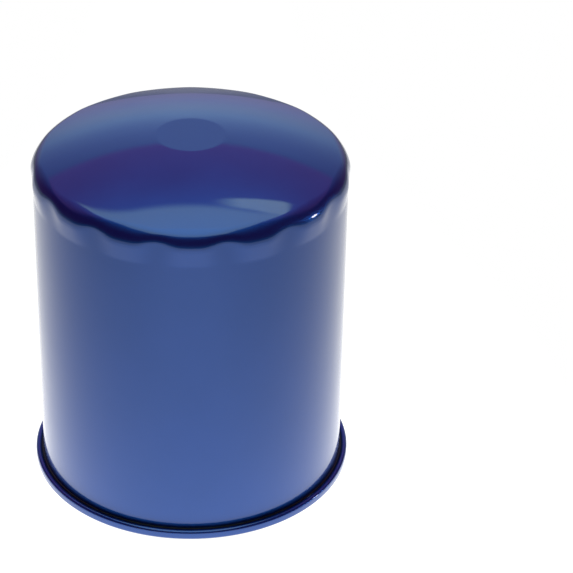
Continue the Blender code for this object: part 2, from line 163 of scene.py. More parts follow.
def sheet_loop(path, thickness):
    """The closed outline of a sheet whose middle follows an open path."""
    line = np.array(path, float)
    right = line_normals(line) * thickness / 2
    return np.concatenate([line + right, (line - right)[::-1]])


def mesh_object(name, vertices, faces, weld=None):
    mesh = bpy.data.meshes.new(name)
    mesh.from_pydata([tuple(v) for v in vertices], [], [tuple(f) for f in faces])
    if weld:
        form = bmesh.new()
        form.from_mesh(mesh)
        bmesh.ops.remove_doubles(form, verts=form.verts, dist=weld)
        bmesh.ops.recalc_face_normals(form, faces=form.faces)
        form.to_mesh(mesh)
        form.free()
    obj = bpy.data.objects.new(name, mesh)
    bpy.context.scene.collection.objects.link(obj)
    return obj


def shade(obj, angle=40):
    obj.data.shade_smooth()
    obj.data.set_sharp_from_angle(angle=math.radians(angle))


def grid_object(name, points, closed=True):
    """A skin over columns x rows points, closed round its columns and, if asked, along its rows."""
    columns, rows = points.shape[:2]
    index = np.arange(columns * rows).reshape(columns, rows)
    following = np.roll(index, -1, axis=0)
    last = rows if closed else rows - 1
    down = np.roll(np.arange(rows), -1)
    faces = [(index[c, i], index[c, down[i]], following[c, down[i]], following[c, i])
             for c in range(columns) for i in range(last)]
    obj = mesh_object(name, points.reshape(-1, 3), faces, weld=WELD)
    shade(obj)
    return obj


def turned_grid(name, loops, closed=True):
    """Turns profiles round the axis. loops has one for each column: columns x points x 2."""
    angles = (np.arange(len(loops)) * math.tau / len(loops))[:, None]
    radius, height = loops[..., 0], loops[..., 1]
    points = np.stack([radius * np.cos(angles), radius * np.sin(angles), height], axis=-1)
    return grid_object(name, points, closed)


def turned(name, loop, columns=96, closed=True):
    """Turns one profile round the axis."""
    loop = np.array(loop, float)
    return turned_grid(name, np.repeat(loop[None], columns, axis=0), closed)


def ring_loop(inner, outer, foot, top, edge):
    """The closed outline of a ring of rectangular section with rounded edges."""
    corners = [(inner, foot, edge), (outer, foot, edge), (outer, top, edge), (inner, top, edge)]
    return rounded(corners, closed=True, steps=4)


def copied_round(obj, count, radius, start=0.0, tilt=0.0):
    """One mesh object made of copies of this one, moved out and set evenly round the axis."""
    form = bmesh.new()
    for i in range(count):
        mesh = obj.data.copy()
        mesh.transform(Matrix.Rotation(tilt, 4, "Y"))
        mesh.transform(Matrix.Translation((radius, 0, 0)))
        mesh.transform(Matrix.Rotation(start + math.tau * i / count, 4, "Z"))
        form.from_mesh(mesh)
        bpy.data.meshes.remove(mesh)
    form.to_mesh(obj.data)
    form.free()
    return obj


def apply_modifiers(obj):
    mesh = bpy.data.meshes.new_from_object(obj.evaluated_get(bpy.context.evaluated_depsgraph_get()))
    obj.modifiers.clear()
    obj.data = mesh


def cut(obj, cutter):
    """Cuts one mesh object from another and deletes the cutter."""
    boolean = obj.modifiers.new("cut", "BOOLEAN")
    boolean.operation = "DIFFERENCE"
    boolean.object = cutter
    apply_modifiers(obj)
    bpy.data.objects.remove(cutter, do_unlink=True)
    shade(obj)


# ---------------------------------------- node helpers

class Nodes:
    """Adds nodes to a material's or the world's tree in short calls."""

    def __init__(self, tree):
        self.tree = tree

    def add(self, kind, inputs=None, **settings):
        node = self.tree.nodes.new(kind)
        for key, value in settings.items():
            setattr(node, key, value)
        for key, value in (inputs or {}).items():
            self.set(node.inputs[key], value)
        return node

    def set(self, socket, value):
        if isinstance(value, bpy.types.NodeSocket):
            self.tree.links.new(value, socket)
        elif socket.type == "RGBA" and len(value) == 3:
            socket.default_value = (*value, 1)
        else:
            socket.default_value = value

    def math(self, operation, *values, clamp=False):
        node = self.add("ShaderNodeMath", operation=operation, use_clamp=clamp)
        for i, value in enumerate(values):
            self.set(node.inputs[i], value)
        return node.outputs[0]

    def place(self):
        """The point on the piece, in the row frame."""
        return self.add("ShaderNodeTexCoord").outputs["Object"]

    def camera_ray(self):
        """1 for what the camera sees directly, 0 for what a reflection sees."""
        return self.add("ShaderNodeLightPath").outputs["Is Camera Ray"]

    def stretched(self, vector, scale):
        return self.add("ShaderNodeMapping", {"Vector": vector, "Scale": scale}).outputs[0]

    def noise(self, vector, scale, detail=2.0, roughness=0.5):
        wanted = {"Vector": vector, "Scale": scale, "Detail": detail, "Roughness": roughness}
        return self.add("ShaderNodeTexNoise", wanted).outputs["Fac"]

    def remap(self, value, low, high, to_low, to_high, smooth=False):
        wanted = {"Value": value, "From Min": low, "From Max": high}
        wanted.update({"To Min": to_low, "To Max": to_high})
        kind = "SMOOTHSTEP" if smooth else "LINEAR"
        return self.add("ShaderNodeMapRange", wanted, interpolation_type=kind).outputs[0]

    def rises(self, value, edge, top=1.0):
        """Goes smoothly from 0 up to the top as the value crosses the edge, a pair of numbers."""
        return self.remap(value, *edge, 0, top, smooth=True)

    def falls(self, value, edge, top=1.0):
        return self.remap(value, *edge, top, 0, smooth=True)

    def product(self, first, *others):
        for other in others:
            first = self.math("MULTIPLY", first, other)
        return first

    def mix(self, factor, first, second):
        node = self.add("ShaderNodeMix", data_type="RGBA")
        self.set(node.inputs[0], factor)
        self.set(node.inputs[6], first)
        self.set(node.inputs[7], second)
        return node.outputs[2]

    def tint(self, value, low, high, dark, light):
        """Goes from the dark colour to the light one as the value goes from low to high."""
        return self.mix(self.remap(value, low, high, 0, 1), dark, light)

    def blend(self, first, second, share):
        """This share of the first value and the rest of the second."""
        rest = self.math("MULTIPLY", second, 1 - share)
        return self.math("ADD", self.math("MULTIPLY", first, share), rest)

    def added(self, first, second):
        node = self.add("ShaderNodeVectorMath", {0: first, 1: second}, operation="ADD")
        return node.outputs[0]

    def scaled(self, level, colour):
        node = self.add("ShaderNodeVectorMath", {0: colour, "Scale": level}, operation="SCALE")
        return node.outputs[0]

    def bump(self, height, strength, distance):
        wanted = {"Height": height, "Strength": strength, "Distance": distance}
        return self.add("ShaderNodeBump", wanted).outputs[0]


def new_material(name):
    made = bpy.data.materials.new(name)
    made.use_nodes = True
    nodes = Nodes(made.node_tree)
    shader = made.node_tree.nodes["Principled BSDF"]
    return made, nodes, shader


def wear(obj, material):
    """Gives the piece this material alone."""
    obj.data.materials.clear()
    obj.data.materials.append(material)


# ---------------------------------------- materials

def blue_paint():
    """Deep blue metallic under a clear gloss coat, with a trace of orange peel."""
    made, nodes, shader = new_material("blue_paint")
    place = nodes.place()
    cloud = nodes.noise(place, 45, 3)
    flake = nodes.noise(place, 9000, 1)
    peel = nodes.noise(place, 420, 1.5)
    colour = nodes.tint(cloud, 0.35, 0.65, (0.0015, 0.049, 0.245), (0.0025, 0.053, 0.264))
    nodes.set(shader.inputs["Base Color"], colour)
    shader.inputs["Metallic"].default_value = 0.9
    nodes.set(shader.inputs["Roughness"], nodes.remap(cloud, 0.3, 0.7, 0.34, 0.40))
    nodes.set(shader.inputs["Normal"], nodes.bump(flake, 0.12, 0.00002))
    shader.inputs["Coat Weight"].default_value = 1.0
    shader.inputs["Coat Roughness"].default_value = 0.03
    shader.inputs["Coat IOR"].default_value = 1.5
    nodes.set(shader.inputs["Coat Normal"], nodes.bump(peel, 0.05, 0.00004))
    return made


def black_sealant():
    """Nearly black, slightly lumpy, with a dull shine."""
    made, nodes, shader = new_material("black_sealant")
    place = nodes.place()
    lumps = nodes.noise(place, 900, 3)
    shader.inputs["Base Color"].default_value = (0.0012, 0.0012, 0.0030, 1)
    nodes.set(shader.inputs["Roughness"], nodes.remap(lumps, 0.3, 0.7, 0.28, 0.5))
    shader.inputs["Specular IOR Level"].default_value = 0.35
    nodes.set(shader.inputs["Normal"], nodes.bump(lumps, 0.5, 0.0001))
    return made


def rubber(name, dark, light, roughness):
    """Moulded rubber with a fine grain and faint cloudy bloom."""
    made, nodes, shader = new_material(name)
    place = nodes.place()
    bloom = nodes.noise(place, 160, 4)
    grain = nodes.noise(place, 5200, 2)
    polish = nodes.remap(bloom, 0.3, 0.7, roughness - 0.06, roughness + 0.08)
    nodes.set(shader.inputs["Base Color"], nodes.tint(bloom, 0.3, 0.75, dark, light))
    nodes.set(shader.inputs["Roughness"], polish)
    nodes.set(shader.inputs["Normal"], nodes.bump(grain, 0.35, 0.00005))
    return made


def steel(name, dark, light, roughness, lines=(1, 1, 1), line_scale=900):
    """Bare or plated sheet steel: fine drawing lines stretched along one way, and soft stains."""
    made, nodes, shader = new_material(name)
    place = nodes.place()
    drawn = nodes.noise(nodes.stretched(place, lines), line_scale, 3, 0.65)
    stain = nodes.noise(place, 120, 5, 0.6)
    worn = nodes.blend(drawn, stain, 0.6)
    polish = nodes.remap(worn, 0.3, 0.7, roughness - 0.1, roughness + 0.12)
    nodes.set(shader.inputs["Base Color"], nodes.tint(stain, 0.3, 0.7, dark, light))
    shader.inputs["Metallic"].default_value = 1.0
    nodes.set(shader.inputs["Roughness"], polish)
    nodes.set(shader.inputs["Normal"], nodes.bump(drawn, 0.12, 0.00003))
    return made


def filter_paper():
    """Resin-cured cellulose: matted fibres over a mottled tan."""
    made, nodes, shader = new_material("filter_paper")
    place = nodes.place()
    mottle = nodes.noise(place, 700, 5, 0.65)
    fibre = nodes.noise(nodes.stretched(place, (1, 1, 0.25)), 4200, 4, 0.7)
    tone = nodes.blend(mottle, fibre, 0.6)
    colour = nodes.tint(tone, 0.35, 0.65, (0.40, 0.235, 0.085), (0.66, 0.47, 0.23))
    nodes.set(shader.inputs["Base Color"], colour)
    shader.inputs["Roughness"].default_value = 0.92
    nodes.set(shader.inputs["Normal"], nodes.bump(fibre, 0.6, 0.00008))
    return made


def cast_resin(name, dark, light, roughness, ripple):
    """Poured plastisol or glue: a slow ripple and small colour clouds."""
    made, nodes, shader = new_material(name)
    place = nodes.place()
    cloud = nodes.noise(place, 260, 4)
    polish = nodes.remap(cloud, 0.3, 0.7, roughness - 0.08, roughness + 0.1)
    nodes.set(shader.inputs["Base Color"], nodes.tint(cloud, 0.3, 0.7, dark, light))
    nodes.set(shader.inputs["Roughness"], polish)
    nodes.set(shader.inputs["Normal"], nodes.bump(cloud, ripple, 0.0003))
    return made


DRAWN_UP, DRAWN_ACROSS = (1, 1, 0.06), (1, 0.15, 1)
ZINC_DARK, ZINC_LIGHT = (0.50, 0.47, 0.38), (0.66, 0.63, 0.55)
TIN_DARK, TIN_LIGHT = (0.56, 0.56, 0.54), (0.68, 0.68, 0.66)
SPRING_DARK, SPRING_LIGHT = (0.20, 0.21, 0.24), (0.34, 0.35, 0.38)

MATERIALS = {
    "blue_paint": blue_paint(),
    "black_sealant": black_sealant(),
    "black_rubber": rubber("black_rubber", (0.010, 0.010, 0.011), (0.020, 0.020, 0.021), 0.50),
    "orange_silicone": rubber("orange_silicone", (0.52, 0.095, 0.022), (0.62, 0.135, 0.035), 0.42),
    "plated_steel": steel("plated_steel", ZINC_DARK, ZINC_LIGHT, 0.34, line_scale=500),
    "tinned_steel": steel("tinned_steel", TIN_DARK, TIN_LIGHT, 0.26, DRAWN_UP),
    "spring_steel": steel("spring_steel", SPRING_DARK, SPRING_LIGHT, 0.30, DRAWN_ACROSS),
    "filter_paper": filter_paper(),
    "plastisol": cast_resin("plastisol", (0.26, 0.035, 0.028), (0.36, 0.06, 0.045), 0.42, 0.3),
    "hot_melt": cast_resin("hot_melt", (0.60, 0.52, 0.32), (0.74, 0.67, 0.46), 0.35, 0.5),
}


def fit(obj, node, slot, body=ROOT):
    """Gives the piece its material, ties it to its body, and hides the CAD node it stands for."""
    wear(obj, MATERIALS[slot])
    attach(obj, body)
    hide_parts(node)
    return obj


# ---------------------------------------- the can, its lid and the seam

def crown_height(radius):
    """The crown's level: a sphere whose middle is pressed flat, with a soft crease between."""
    ball = CROWN_CENTRE + np.sqrt(CROWN_RADIUS**2 - radius**2)
    share = np.clip(0.5 + 0.5 * (ball - SHELL_TOP) / CROWN_SOFTNESS, 0, 1)
    return ball + (SHELL_TOP - ball) * share - CROWN_SOFTNESS * share * (1 - share)


def shoulder(radius, reach):
    """The profile from the crown's edge to the plain wall: an arc that ends upright at the reach,
    and a face that falls back to the wall."""
    across = reach - radius
    along = math.sqrt((CROWN_RADIUS - radius) ** 2 - across**2)
    angles = np.linspace(math.atan2(along, across), 0, SHOULDER_ROWS)
    centre = np.array([across, CROWN_CENTRE + along])
    arc = centre + radius * np.stack([np.cos(angles), np.sin(angles)], axis=1)
    foot = [(*arc[-1], 0), (reach, RIB_FOOT, RIB_SOFTNESS)]
    foot += [(CAN_RADIUS, SHOULDER_FOOT, RIB_SOFTNESS), (CAN_RADIUS, SHOULDER_FOOT - 3 * MM, 0)]
    foot = rounded(foot, steps=10, support=0)
    return np.concatenate([resampled(arc, SHOULDER_ROWS), resampled(foot, SHOULDER_ROWS)[1:]])


def can_loops():
    """The can's closed profile at each column: outside from the crown to the hook, and back inside.
    A rib faces -Y, and the profile swings to the flute's and back fifteen times round."""
    flute, rib = shoulder(SHOULDER_RADIUS, CAN_RADIUS), shoulder(RIB_RADIUS, RIB_REACH)
    # Rows stand closest across the crease at the pressed flat's edge.
    crown_radii = [0, 3, 6, 8.2], np.linspace(9, 11.6, 10), np.linspace(13, 42.4, 19)
    crown_radii = np.concatenate(crown_radii) * MM
    crown = np.stack([crown_radii, crown_height(crown_radii)], axis=1)
    wall_levels = np.linspace(flute[-1, 1], SEAM_TOP, WALL_ROWS + 2)[1:-1]
    wall = np.stack([np.full(WALL_ROWS, CAN_RADIUS), wall_levels], axis=1)
    foot, bend = SEAM_FOOT + 1.1 * MM, 0.55 * MM
    hook = [(CAN_RADIUS, SEAM_FOOT + 2.6 * MM, 0), (CAN_RADIUS, foot, bend), (CAN_HOOK, foot, bend)]
    hook = np.array(rounded(hook + [(CAN_HOOK, SEAM_FOOT + 2.0 * MM, 0)], steps=4))
    loops = []
    for column in range(CAN_COLUMNS):
        angle = column * math.tau / CAN_COLUMNS
        wave = 0.5 + 0.5 * math.cos(FLUTES * (angle + math.pi / 2))
        share = math.sin(math.pi / 2 * wave)
        outside = np.concatenate([crown, flute + (rib - flute) * share, wall, hook])
        inside = outside - line_normals(outside) * -SHEET
        inside[0, 0] = 0
        loops.append(np.concatenate([outside, inside[::-1]]))
    return np.array(loops)


def build_can():
    fit(turned_grid("can_body", can_loops()), "can_shell", "blue_paint")


def lid_path():
    """The middle of the lid's sheet, from its groove round the gasket to the hook in the seam."""
    half = SHEET / 2
    roof = GASKET_HIGH.z + GAP + half
    inner = GASKET_HIGH.x - GASKET_WIDTH - GAP - half
    outer = GASKET_HIGH.x + GAP + half
    lip = SEAM_FOOT + 0.7 * MM + half
    panel = SEAM_FOOT + 4.0 * MM
    chuck = CAN_RADIUS - SHEET - 0.2 * MM - half
    foot = SEAM_FOOT + half
    wall = SEAM_RADIUS - half
    hook = wall - 2 * SEAM_PITCH
    groove_bend, lip_bend, panel_bend = 0.5 * MM, 0.85 * MM, 0.9 * MM
    foot_bend, roll_bend = 0.6 * MM, 0.74 * MM
    corners = [(inner, lip + 0.8 * MM, 0), (inner, roof, groove_bend), (outer, roof, groove_bend)]
    corners += [(outer, lip, lip_bend), (outer + 1.8 * MM, lip, lip_bend)]
    corners += [(outer + 2.8 * MM, panel, panel_bend), (chuck, panel, panel_bend)]
    corners += [(chuck, foot, foot_bend), (wall, foot, foot_bend)]
    corners += [(wall, SEAM_TOP - half, roll_bend), (hook, SEAM_TOP - half, roll_bend)]
    return rounded(corners + [(hook, SEAM_FOOT + 1.45 * MM, 0)], steps=8)


def build_lid():
    lid = turned("rolled_lid", sheet_loop(lid_path(), SHEET), SEAM_COLUMNS)
    fit(lid, "seaming_lid", "blue_paint")


def build_seam_bead():
    """The nearly black bead that fills the valley between the wall and the rolled seam."""
    wall = CAN_RADIUS + 0.01 * MM
    top = SEAM_TOP - 0.28 * MM
    foot = top - 1.0 * MM
    corners = [(wall, top, 0.03 * MM), (wall + 0.35 * MM, top - 0.1 * MM, 0.3 * MM)]
    corners += [(wall + 0.69 * MM, top - 0.02 * MM, 0.03 * MM)]
    corners += [(wall + 0.46 * MM, top - 0.45 * MM, 0.1 * MM)]
    corners += [(wall + 0.42 * MM, foot, 0.05 * MM), (wall, foot, 0.05 * MM)]
    # A nearly black ring along the seam's top, against the wall.
    bead = turned("seam_black_bead", rounded(corners, closed=True, steps=4), SEAM_COLUMNS)
    fit(bead, "seam_sealant", "black_sealant")


# ---------------------------------------- gasket, plate and anti-drain valve

PLATE_TOP = PLATE_LOW.z + 3.5 * MM
HUB_RADIUS = 12.0 * MM
THREAD_PITCH = 25.4 / 16 * MM
THREAD_MAJOR = 9.525 * MM
THREAD_MINOR = 8.66 * MM
THREAD_LEAD = 0.9 * MM
THREAD_FLAT = 0.24
THREAD_FLANK = 0.64
BORE_ROWS = 160
PLATE_COLUMNS = 192
INLETS = 8
INLET_RADIUS = 3.75 * MM
INLET_CIRCLE = 21.0 * MM
SKIRT = 1.2 * MM


def build_gasket():
    """A ring of rubber whose sealing face is flat, with well rounded edges."""
    outer = GASKET_HIGH.x
    inner = outer - GASKET_WIDTH
    face, top = GASKET_LOW.z, GASKET_HIGH.z
    side, edge = face + 0.25 * MM, 0.9 * MM
    corners = [(inner, side, 0.7 * MM), (inner + edge, face, 0.8 * MM)]
    corners += [(outer - edge, face, 0.8 * MM), (outer, side, 0.7 * MM)]
    corners += [(outer, top, 0.5 * MM), (inner, top, 0.5 * MM)]
    ring = turned("gasket_ring", rounded(corners, closed=True, steps=5), 180)
    fit(ring, "outer_gasket", "black_rubber")


def bore_profile(angle):
    """The threaded bore from the foot up: flat crests and roots, and a lead-in cone at each end."""
    height = np.linspace(PLATE_LOW.z, PLATE_HIGH.z, BORE_ROWS)
    phase = ((height - PLATE_LOW.z - THREAD_LEAD) / THREAD_PITCH - angle / math.tau) % 1
    depth = np.clip((np.abs(2 * phase - 1) - THREAD_FLAT) / THREAD_FLANK, 0, 1)
    radius = THREAD_MINOR + (THREAD_MAJOR - THREAD_MINOR) * depth
    foot_slope, top_slope = 1.3, 0.96
    foot_cone = THREAD_MAJOR + 0.3 * MM - (height - PLATE_LOW.z) * foot_slope
    top_cone = THREAD_MAJOR - (PLATE_HIGH.z - height) * top_slope
    return np.stack([np.maximum(radius, np.maximum(foot_cone, top_cone)), height], axis=1)


def build_plate():
    """The plate and its threaded hub, with eight inlet holes countersunk from both faces."""
    edge, low = 0.5 * MM, PLATE_LOW.z
    bores = [bore_profile(math.tau * c / PLATE_COLUMNS) for c in range(PLATE_COLUMNS)]
    corners = [(bores[0][0][0], low, 0), (PLATE_HIGH.x, low, edge), (PLATE_HIGH.x, PLATE_TOP, edge)]
    corners += [(HUB_RADIUS, PLATE_TOP, 1.2 * MM), (HUB_RADIUS, PLATE_HIGH.z, edge)]
    corners += [(bores[0][-1][0] + 0.05 * MM, PLATE_HIGH.z, 0)]
    outside = np.array(rounded(corners, steps=6))
    loops = [np.concatenate([outside, bore[::-1]]) for bore in bores]
    plate = turned_grid("threaded_plate", np.array(loops))
    over, sink = 1 * MM, 0.35 * MM
    flare = INLET_RADIUS + over + sink
    hole = [(0, low - over), (flare, low - over), (INLET_RADIUS, low + sink)]
    hole += [(INLET_RADIUS, PLATE_TOP - sink), (flare, PLATE_TOP + over), (0, PLATE_TOP + over)]
    cutter = turned("inlet_cutter", hole, 48, closed=False)
    cut(plate, copied_round(cutter, INLETS, INLET_CIRCLE, math.pi / INLETS))
    fit(plate, "base_plate", "plated_steel")


def build_flap():
    """The anti-drain valve: its collar stays on the hub while the rim of its skirt lifts."""
    rim = FLAP_LOW.z + SKIRT / 2
    collar = HUB_RADIUS + GAP + SKIRT / 2
    corners = [(FLAP_HIGH.x - 0.1 * MM, rim, 0), (FLAP_HIGH.x - 3.1 * MM, rim + 0.5 * MM, 3 * MM)]
    corners += [(INLET_CIRCLE + 1 * MM, rim + 1.3 * MM, 6 * MM)]
    corners += [(collar + 1.6 * MM, rim + 1.7 * MM, 1.0 * MM)]
    corners += [(collar, rim + 3.4 * MM, 1.0 * MM), (collar, FLAP_HIGH.z, 0)]
    flap = turned("anti_drain_skirt", sheet_loop(rounded(corners, steps=8), SKIRT), 144)
    fit(flap, "anti_drain_valve", "orange_silicone", "anti_drain_flap")
    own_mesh(flap)


# ---------------------------------------- filter element

CAP_SHEET = 0.5 * MM
CAP_RADIUS = 38.3 * MM
CAP_HOLE = 11.5 * MM
PLEATS = 50
PLEAT_OUTER = 37.2 * MM
PLEAT_INNER = 18.0 * MM
PLEAT_SHEET = 6.2 * MM
POTTING_INNER = 16.0 * MM
BEAD_RADIUS = 0.58 * MM
STEPS_PER_PLEAT = 4
BEAD_COLUMNS = STEPS_PER_PLEAT * PLEATS
BEAD_SIDES = 14
TUBE_RADIUS = 15.6 * MM
TUBE_SHEET = 0.6 * MM
TUBE_HOLE = 2.6 * MM
TUBE_ROWS = 4
HOLES_PER_ROW = 6


def build_end_caps():
    """Two tinned discs with turned edges. The lower one has a collar round the plate's hub."""
    half = CAP_SHEET / 2
    rim, bend = CAP_RADIUS - half, 0.8 * MM
    floor, roof = LOWER_CAP_LOW.z + half, UPPER_CAP_HIGH.z - half
    collar = HUB_RADIUS + 0.85 * MM
    lower = [(collar, floor + 2.2 * MM, 0), (collar, floor, bend), (rim, floor, bend)]
    lower += [(rim, LOWER_CAP_HIGH.z, 0)]
    upper = [(CAP_HOLE, roof, 0), (rim, roof, bend), (rim, UPPER_CAP_LOW.z, 0)]
    for side, path in (("lower", lower), ("upper", upper)):
        cap = turned(side + "_cap", sheet_loop(rounded(path), CAP_SHEET), 144)
        fit(cap, side + "_end_cap", "tinned_steel")


def build_potting():
    """Each layer of plastisol has crept a little up its walls as it cured."""
    for node, way in (("lower_potting", 1), ("upper_potting", -1)):
        low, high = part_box(node)
        against, free = (low.z, high.z) if way > 0 else (high.z, low.z)
        level, creep = free - way * 0.25 * MM, 1.2 * MM
        corners = [(POTTING_INNER, against, 0.2 * MM), (high.x, against, 0.2 * MM)]
        corners += [(high.x, free, 0.1 * MM), (high.x - creep, level, 1 * MM)]
        corners += [(POTTING_INNER + creep, level, 1 * MM), (POTTING_INNER, free, 0.1 * MM)]
        cast = turned(node + "_cast", rounded(corners, closed=True, steps=4), 120)
        fit(cast, node, "plastisol")


def build_media():
    """One sheet of paper in radial pleats with rounded folds."""
    def folded(tip, root):
        corners = []
        for i in range(2 * PLEATS):
            angle, radius = math.pi * i / PLEATS, root if i % 2 else tip
            corners.append((radius * math.cos(angle), radius * math.sin(angle), 0.25 * MM))
        return np.array(rounded(corners, closed=True, steps=5))

    outer = folded(PLEAT_OUTER, PLEAT_INNER + PLEAT_SHEET)
    inner = folded(PLEAT_OUTER - PLEAT_SHEET, PLEAT_INNER)
    levels = np.linspace(MEDIA_LOW.z, MEDIA_HIGH.z, 9)
    columns = []
    for out, inside in zip(outer, inner):
        columns.append([(*out, z) for z in levels] + [(*inside, z) for z in levels[::-1]])
    fit(grid_object("pleated_paper", np.array(columns)), "filter_media", "filter_paper")


def build_beads():
    """Two lines of glue round the pleats, a little uneven, as they were laid."""
    turns = np.arange(BEAD_SIDES) * math.tau / BEAD_SIDES
    section = np.stack([np.cos(turns), np.sin(turns)], axis=1)
    for node in ("pleat_bead_lower", "pleat_bead_upper"):
        low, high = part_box(node)
        centre = np.array([high.x - 0.6 * MM, (low.z + high.z) / 2])
        columns = []
        for c in range(BEAD_COLUMNS):
            pleat = math.sin(math.tau * c / STEPS_PER_PLEAT)
            sag = math.sin(math.tau * c * 3 / BEAD_COLUMNS)
            wobble = 1 - 0.07 * (1 + pleat * 0.5 + sag * 0.5)
            columns.append(centre + BEAD_RADIUS * wobble * section)
        fit(turned_grid(node + "_line", np.array(columns)), node, "hot_melt")


def build_tube():
    """The centre tube, with rows of punched holes staggered from one row to the next."""
    ring = ring_loop(TUBE_RADIUS - TUBE_SHEET, TUBE_RADIUS, TUBE_LOW.z, TUBE_HIGH.z, 0.15 * MM)
    tube = turned("perforated_tube", ring, 144)
    rise = (TUBE_HIGH.z - TUBE_LOW.z) / (TUBE_ROWS + 1)
    middle, reach = TUBE_RADIUS - TUBE_SHEET / 2, 3 * MM
    hole = [(0, -reach), (TUBE_HOLE, -reach), (TUBE_HOLE, reach), (0, reach)]
    for row in range(TUBE_ROWS):
        cutter = turned("tube_cutter", hole, 32, closed=False)
        stagger = math.tau * 0.5 * (row % 2) / HOLES_PER_ROW
        copied_round(cutter, HOLES_PER_ROW, middle, stagger, math.pi / 2)
        cutter.data.transform(Matrix.Translation((0, 0, TUBE_LOW.z + rise * (row + 1))))
        cut(tube, cutter)
    fit(tube, "centre_tube", "tinned_steel")


# ---------------------------------------- bypass valve

SEAT = UPPER_CAP_HIGH.z + 0.25 * MM
CAGE = 11.0 * MM
CAGE_FLANGE = 13.6 * MM
CAGE_SEAT = 6.8 * MM
CAGE_LEDGE = 2.4 * MM
CAGE_SHEET = 0.6 * MM
WINDOWS = 4
WINDOW_SIZE = (6 * MM, 8 * MM, 9 * MM)
STEM = 2.3 * MM
COIL = 6.0 * MM
WIRE = 0.5 * MM
COIL_TURNS = 6
STEPS_PER_TURN = 48
WIRE_SIDES = 12


def build_cage():
    """The valve's body: a flange on the end cap, a seat for the seal, and a windowed cage."""
    foot, edge, crease = VALVE_FOOT, 0.15 * MM, 0.1 * MM
    flange_top, ledge_top = SEAT + CAGE_SHEET, foot + CAGE_SHEET
    corners = [(CAGE_FLANGE, flange_top, edge), (CAGE_FLANGE, SEAT, edge), (CAGE, SEAT, crease)]
    corners += [(CAGE, foot, 0.5 * MM)]
    corners += [(CAGE - CAGE_LEDGE, foot, edge), (CAGE - CAGE_LEDGE, ledge_top, edge)]
    corners += [(CAGE - CAGE_SHEET, ledge_top, crease), (CAGE - CAGE_SHEET, SEAT, crease)]
    corners += [(CAGE_SEAT, SEAT, edge), (CAGE_SEAT, flange_top, edge)]
    cage = turned("valve_cage", rounded(corners, closed=True, steps=4), 120)
    bpy.ops.mesh.primitive_cube_add(size=1)
    window = bpy.context.object
    window.data.transform(Matrix.Diagonal((*WINDOW_SIZE, 1)))
    window.data.transform(Matrix.Translation((0, 0, (foot + SEAT) / 2)))
    corner = window.modifiers.new("corner", "BEVEL")
    corner.width = 1.2 * MM
    corner.segments = 5
    apply_modifiers(window)
    cut(cage, copied_round(window, WINDOWS, CAGE, math.pi / WINDOWS))
    fit(cage, "bypass_valve_body", "tinned_steel")


def build_poppet():
    """The poppet's boss, disc, pilot and stem, and the rubber seal on its disc."""
    disc, rim, edge = SEAT - 1.6 * MM, POPPET_HIGH.x, 0.3 * MM
    boss, boss_top = 5.0 * MM, disc + 1 * MM
    pilot, pilot_foot = COIL - WIRE - 0.7 * MM, disc - 2.2 * MM
    corners = [(0, boss_top, 0), (boss, boss_top, edge), (boss, disc, 0.1 * MM), (rim, disc, edge)]
    corners += [(rim, disc - 1 * MM, edge), (pilot, disc - 1 * MM, 0.2 * MM)]
    corners += [(pilot, pilot_foot, 0.4 * MM), (STEM, pilot_foot, edge)]
    corners += [(STEM, POPPET_LOW.z, 0.5 * MM), (0, POPPET_LOW.z, 0)]
    poppet = turned("poppet", rounded(corners, steps=4), 96, closed=False)
    fit(poppet, "bypass_poppet", "tinned_steel", "poppet")
    ring = ring_loop(5.4 * MM, SEAL_HIGH.x, SEAL_LOW.z, SEAL_HIGH.z, 0.25 * MM)
    fit(turned("poppet_seal", ring, 96), "bypass_seal", "black_rubber", "poppet")


def build_coil():
    """The bypass spring, with a closed turn at each end. It shortens as the poppet opens."""
    foot, top = COIL_LOW.z + WIRE, COIL_HIGH.z - WIRE
    closed_rise = 2 * WIRE + 0.15 * MM
    open_rise = (top - foot - 2 * closed_rise) / (COIL_TURNS - 2)
    along = np.linspace(0, COIL_TURNS, COIL_TURNS * STEPS_PER_TURN + 1)
    height = foot + closed_rise * np.minimum(along, 1)
    height += open_rise * np.clip(along - 1, 0, COIL_TURNS - 2)
    height += closed_rise * np.maximum(along - COIL_TURNS + 1, 0)
    # The wire's cut ends are a little narrower, which rounds their edges.
    wire = np.full(len(along), WIRE)
    wire[[0, -1]] *= 0.7
    wire[[1, -2]] *= 0.93
    points = []
    for angle, level, size in zip(math.tau * along, height, wire):
        for side in np.arange(WIRE_SIDES) * math.tau / WIRE_SIDES:
            reach, rise = COIL + size * math.cos(side), size * math.sin(side)
            points.append((reach * math.cos(angle), reach * math.sin(angle), level + rise))
    rings = np.arange(len(points)).reshape(len(along), WIRE_SIDES)
    onward = np.roll(rings, -1, axis=1)
    faces = np.stack([rings[:-1], onward[:-1], onward[1:], rings[1:]], axis=-1).reshape(-1, 4)
    faces = [*faces, rings[0], rings[-1]]
    coil = mesh_object("bypass_coil", points, faces, weld=WELD)
    shade(coil)
    fit(coil, "bypass_spring", "spring_steel")
    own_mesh(coil)


def build_coil_cap():
    """The dished cap under the spring, with a collar that guides the poppet's stem."""
    half, bend = CAGE_SHEET / 2, 0.5 * MM
    floor = COIL_CAP_LOW.z + half
    guide, rim = STEM + 0.2 * MM + half, CAGE - CAGE_SHEET - GAP - half
    corners = [(guide, COIL_CAP_HIGH.z, 0), (guide, floor, bend), (rim, floor, bend)]
    corners += [(rim, floor + 1.8 * MM, 0)]
    cap = turned("coil_cap", sheet_loop(rounded(corners), CAGE_SHEET), 96)
    fit(cap, "bypass_spring_cap", "tinned_steel")


def dress_kept_nodes():
    """The seam clip and the leaf spring stay as they are in the frame, under these materials."""
    for node, slot in (("media_seam_clip", "tinned_steel"), ("element_spring", "spring_steel")):
        wear(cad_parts[node], MATERIALS[slot])


